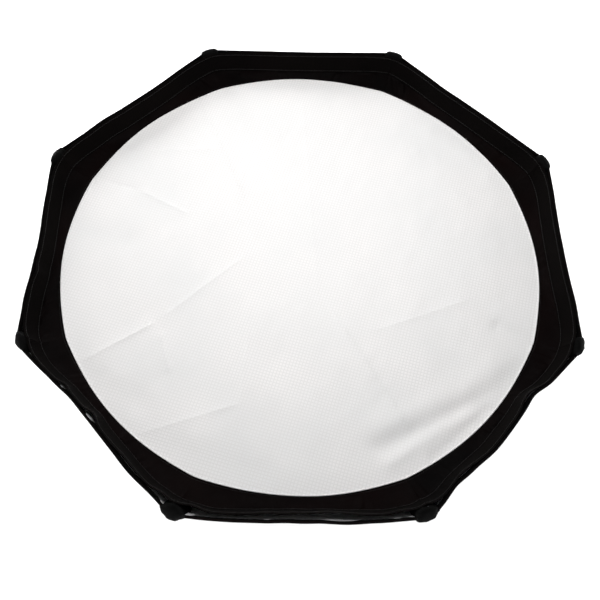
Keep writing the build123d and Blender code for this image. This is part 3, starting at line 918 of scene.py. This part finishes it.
class SOFTBOX_OT_tape(bpy.types.Operator):
    """Woven seam tape over each rib, with the pouch that holds the rib tip"""
    bl_idname = "softbox.tape"
    bl_label = "Seam tapes"

    def execute(self, context):
        arc = RibArc()
        cloth = tape_material()
        s = np.linspace(arc.z.shell_start + 0.003, arc.length + 0.0005, 141)
        reach = np.linspace(-1, 1, 25)[:, None] * tape_half_width(arc, s)[None, :]
        along = np.broadcast_to(s[None, :], reach.shape)
        share = 1 - np.abs(reach) / (arc.point(along)[0] * sin(HALF))
        for k in panels():
            before = wall(arc, k, share, along, SHELL_OFF, TAPE_CORNER, push=-0.0014)
            after = wall(arc, k % SIDES + 1, -share, along, SHELL_OFF, TAPE_CORNER, push=-0.0014)
            p = np.where((reach <= 0)[..., None], before, after)
            obj = cloth_piece(f"seam_band_{k}", p, facing(p, heading(k, 1)), 0.0008,
                              np.stack([reach, along], -1), cloth)
            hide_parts(f"rib_tape_{k}")
            ride_rib(obj, k)
            self.pouch(arc, k, cloth)
        return {"FINISHED"}

    def pouch(self, arc, k, cloth):
        """Rounded pouch round the rib tip, a little slack and uneven."""
        out_x, out_y, _ = heading(k, 1)
        rng = np.random.RandomState(sizes().seed + 300 + k)
        slump, sway, fat = POUCHES.get(k, (0.0, 0.0, 1.0))
        end = np.array(arc.point(arc.length + 0.0032, 0.0008))
        low = np.array(arc.point(arc.length - 0.055, 0.0040))
        length = np.linalg.norm(end - low)
        run = (end - low) / length
        side = np.array([run[1], -run[0]])
        at = np.array([0, .06, .14, .24, .36, .50, .64, .76, .85, .92, .965, .99, 1.0])
        deep = np.array([.12, .30, .48, .64, .78, .90, .97, 1.0, 1.0, .96, .84, .56, .15]) * POUCH_DEEP * fat
        wide = np.array([.30, .62, .80, .90, .96, 1.0, 1.02, 1.0, .97, .91, .80, .58, .20]) * POUCH_WIDE * fat
        turns = np.linspace(0, 2 * pi, 40, endpoint=False)
        phase = 6 * rng.rand(3)
        rings = []
        for f, a, c in zip(at, deep, wide):
            pleat = (1 + 0.05 * np.sin(4 * turns + phase[0]) * f
                     + 0.035 * np.sin(9 * turns + phase[1]) * f ** 2)
            a = a + 0.5 * slump * f
            centre = low + run * (f * length) + side * 0.5 * slump * f
            corner = np.abs(np.cos(turns)) ** 1.25 * np.sign(np.cos(turns))
            rad = centre[0] + side[0] * a * pleat * corner
            hgt = centre[1] + side[1] * a * pleat * corner
            tan_y = c * pleat * np.sin(turns) + sway * f ** 1.5
            rings.append(np.stack([rad * out_x - tan_y * out_y, rad * out_y + tan_y * out_x, hgt], -1))
        ride_rib(loft_piece(f"tip_pouch_{k}", np.stack(rings), cloth), k)


class SOFTBOX_OT_stitching(bpy.types.Operator):
    """Rows of stitches on the strips, bindings, border and seam tapes"""
    bl_idname = "softbox.stitching"
    bl_label = "Stitching"

    def execute(self, context):
        arc, z = RibArc(), sizes()
        front = FrontCloth(arc)
        thread, tree = thread_material(), stitch_tree()
        u = np.linspace(-0.985, 0.985, 241)

        def sew(name, rows, pitch, stitch, thick, seed, zigzag=0.0):
            return grown(path_object(name, rows), tree, {"Pitch": pitch, "Length": stitch, "Thickness": thick,
                                                         "Zigzag": zigzag, "Seed": seed, "Thread": thread})

        for k in panels():
            inward = UPWARDS * 0.25 - heading(k)
            rows = [(strip_wall(arc, k, u, s_at, STRIP_OFF - 0.0015), inward)
                    for s_at in (arc.fold + 0.0045, arc.length - z.rim_hem - 0.0035)]
            obj = sew(f"strip_stitches_{k}", rows, 0.0023, 0.0040, 0.0006, k, 0.62)
            fold_with_panel(obj, f"shell_{k}")
            rows = [(wall(arc, k, u, s_at, SHELL_OFF, push=SHELL_OFF - off), direction)
                    for s_at, off, direction in (
                        (arc.length + 0.0012 - z.binding_h + 0.0018, 0.0099, -inward),
                        (arc.length - 0.0065, 0.0066, inward))]
            obj = sew(f"rim_stitches_{k}", rows, 0.0040, z.stitch_len, 0.0006, k + 20)
            fold_with_panel(obj, f"shell_{k}")
            edge = front.border(k, u, np.full_like(u, 0.12)) + UPWARDS * 0.0002
            obj = sew(f"border_stitches_{k}", [(edge, UPWARDS)], 0.0036, 0.0028, 0.0005, k + 40)
            fold_with_panel(obj, f"front_{k}")
            obj = sew(f"tape_stitches_{k}", self.tape_rows(arc, k), 0.0042, 0.0034, 0.0006, k + 60)
            ride_rib(obj, k)
        return {"FINISHED"}

    def tape_rows(self, arc, k):
        """One row inside each edge of the tape."""
        s = np.linspace(arc.z.shell_start + 0.006, arc.length - 0.012, 200)
        share = 1 - (tape_half_width(arc, s) - 0.0022) / (arc.point(s)[0] * sin(HALF))
        a = arc.lean(s)[:, None]
        out = np.cos(a) * heading(k, 1) - np.sin(a) * UPWARDS
        return [(wall(arc, panel, share * side, s, SHELL_OFF, TAPE_CORNER, push=-0.0016), out)
                for panel, side in ((k, 1), (k % SIDES + 1, -1))]


class SOFTBOX_OT_finishes(bpy.types.Operator):
    """Metal, plastic and glass-fibre finishes on the mount, runner and ribs"""
    bl_idname = "softbox.finishes"
    bl_label = "Hard parts"

    def execute(self, context):
        black_cast = metal_material("black_cast", (0.018, 0.018, 0.019), 0.42, 0.0, scale=520.0,
                                    depth=0.00012)
        turned_metal = metal_material("turned_aluminium", (0.74, 0.74, 0.75), 0.28, 1.0, (1, 1, 30), 40.0)
        steel = metal_material("bright_steel", (0.52, 0.52, 0.53), 0.30, 1.0, (8, 8, 1), 120.0)
        red_coat = metal_material("tab_coat", (0.32, 0.016, 0.012), 0.38, 0.0, scale=600.0, depth=0.0001)
        crank_black = metal_material("crank_black", (0.028, 0.028, 0.03), 0.36, 0.6, scale=420.0)
        fibre = metal_material("rib_fibre", (0.020, 0.020, 0.021), 0.33, 0.0, (1, 1, 0.08), 900.0)
        moulded = plastic_material("moulded_black", (0.022, 0.022, 0.023), 0.48)
        knob = plastic_material("knob_black", (0.014, 0.014, 0.015), 0.36)
        pad = plastic_material("pad_grey", (0.28, 0.28, 0.28), 0.6)
        finish = {"mount_ring": black_cast, "insert_retainer": black_cast, "retainer_screws": steel,
                  "hinge_pins": steel, "guide_posts": steel, "guide_crown": black_cast,
                  "bayonet_insert": turned_metal, "runner_ring": moulded, "runner_pins": steel,
                  "release_tabs": red_coat, "lock_knob": knob, "clamp_pad": pad}
        for k in panels():
            finish[f"rib_crank_{k}"] = crank_black
            finish[f"rib_rod_{k}"] = fibre
        for name, material in finish.items():
            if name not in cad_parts:
                raise RuntimeError(f"no node {name} to finish")
            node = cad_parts[name]
            if not node.material_slots:
                node.data.materials.append(material)
            for held in node.material_slots:
                held.material = material
        return {"FINISHED"}


FLOOR_HALF = 12.0
LOW_LIGHTS = 6
# Name, place, aim, size, power; metres and watts.
LIGHTS = (
    ("overhead", (-0.02, 0.14, 1.22), (-0.02, 0.14, 0.35), 0.45, 5.4),
    ("far_side", (-0.9, 1.6, 1.15), (0.0, 0.0, 0.35), 0.6, 17.0),
)
CAMERA_PLACE = (-0.01932, -0.62675, 1.41757)
CAMERA_AXES = (Vector((0.99983, 0.00263, 0.01798)),     # to the right
               Vector((-0.01056, 0.88914, 0.45752)),    # up
               Vector((-0.01478, -0.45764, 0.88902)))   # back, away from the softbox


class SOFTBOX_OT_stage(bpy.types.Operator):
    """Pale floor, soft lights and the camera"""
    bl_idname = "softbox.stage"
    bl_label = "Stage"

    def execute(self, context):
        scene = bpy.context.scene
        mesh = bpy.data.meshes.new("floor")
        w = FLOOR_HALF
        mesh.from_pydata([(-w, -w, 0), (w, -w, 0), (w, w, 0), (-w, w, 0)], [], [(0, 1, 2, 3)])
        pale = shader("pale_floor", (0.95, 0.95, 0.95), 0.9, Specular_IOR_Level=0.1)[0]
        put(mesh, pale)
        scene.world = bpy.data.worlds.new("studio")
        scene.world.use_nodes = True
        sky = scene.world.node_tree.nodes["Background"].inputs
        sky["Color"].default_value = (1, 1, 1, 1)
        sky["Strength"].default_value = 0.42
        for name, place, aim, size, power in LIGHTS:
            self.light(name, place, aim, size, power)
        for i in range(LOW_LIGHTS):
            turn = 2 * pi * i / LOW_LIGHTS + 0.3
            self.light(f"low_{i}", (1.5 * cos(turn), 1.5 * sin(turn), 0.22),
                       (0.7 * cos(turn), 0.7 * sin(turn), 0.0), 0.3, 20.0)
        scene.view_settings.view_transform = "Standard"
        camera = bpy.data.objects.new("camera", bpy.data.cameras.new("camera"))
        scene.collection.objects.link(camera)
        scene.camera = camera
        camera.rotation_mode = "QUATERNION"
        camera.rotation_quaternion = Matrix(CAMERA_AXES).transposed().to_quaternion()
        camera.location = CAMERA_PLACE
        camera.data.sensor_width = 36
        camera.data.lens = 43.05
        camera.data.clip_start = 0.01
        return {"FINISHED"}

    def light(self, name, place, aim, size, power):
        lamp = bpy.data.lights.new(name, "AREA")
        lamp.shape, lamp.size, lamp.energy = "DISK", size, power
        obj = bpy.data.objects.new(name, lamp)
        bpy.context.scene.collection.objects.link(obj)
        obj.location = place
        obj.visible_camera = False
        obj.rotation_mode = "QUATERNION"
        obj.rotation_quaternion = (Vector(aim) - Vector(place)).to_track_quat("-Z", "Y")


class SOFTBOX_PT_panel(bpy.types.Panel):
    """Sizes, colours and build steps of the softbox"""
    bl_idname = "SOFTBOX_PT_panel"
    bl_label = "Softbox"
    bl_space_type = "VIEW_3D"
    bl_region_type = "UI"
    bl_category = "Softbox"

    def draw(self, context):
        for group in (context.scene.softbox_sizes, context.scene.softbox_colours):
            box = self.layout.box()
            for name in group.__annotations__:
                box.prop(group, name)
        for step in STEPS:
            self.layout.operator(step.bl_idname)


STEPS = (SOFTBOX_OT_shell, SOFTBOX_OT_lining, SOFTBOX_OT_binding, SOFTBOX_OT_strip, SOFTBOX_OT_front,
         SOFTBOX_OT_tape, SOFTBOX_OT_stitching, SOFTBOX_OT_finishes, SOFTBOX_OT_stage)
CLASSES = (SoftboxSizes, SoftboxColours, *STEPS, SOFTBOX_PT_panel)


def register():
    for cls in CLASSES:
        bpy.utils.register_class(cls)
    bpy.types.Scene.softbox_sizes = PointerProperty(type=SoftboxSizes)
    bpy.types.Scene.softbox_colours = PointerProperty(type=SoftboxColours)


def unregister():
    del bpy.types.Scene.softbox_colours
    del bpy.types.Scene.softbox_sizes
    for cls in reversed(CLASSES):
        bpy.utils.unregister_class(cls)


def main():
    register()
    for step in STEPS:
        getattr(bpy.ops.softbox, step.bl_idname.split(".")[1])()


if __name__ == "__main__":
    main()
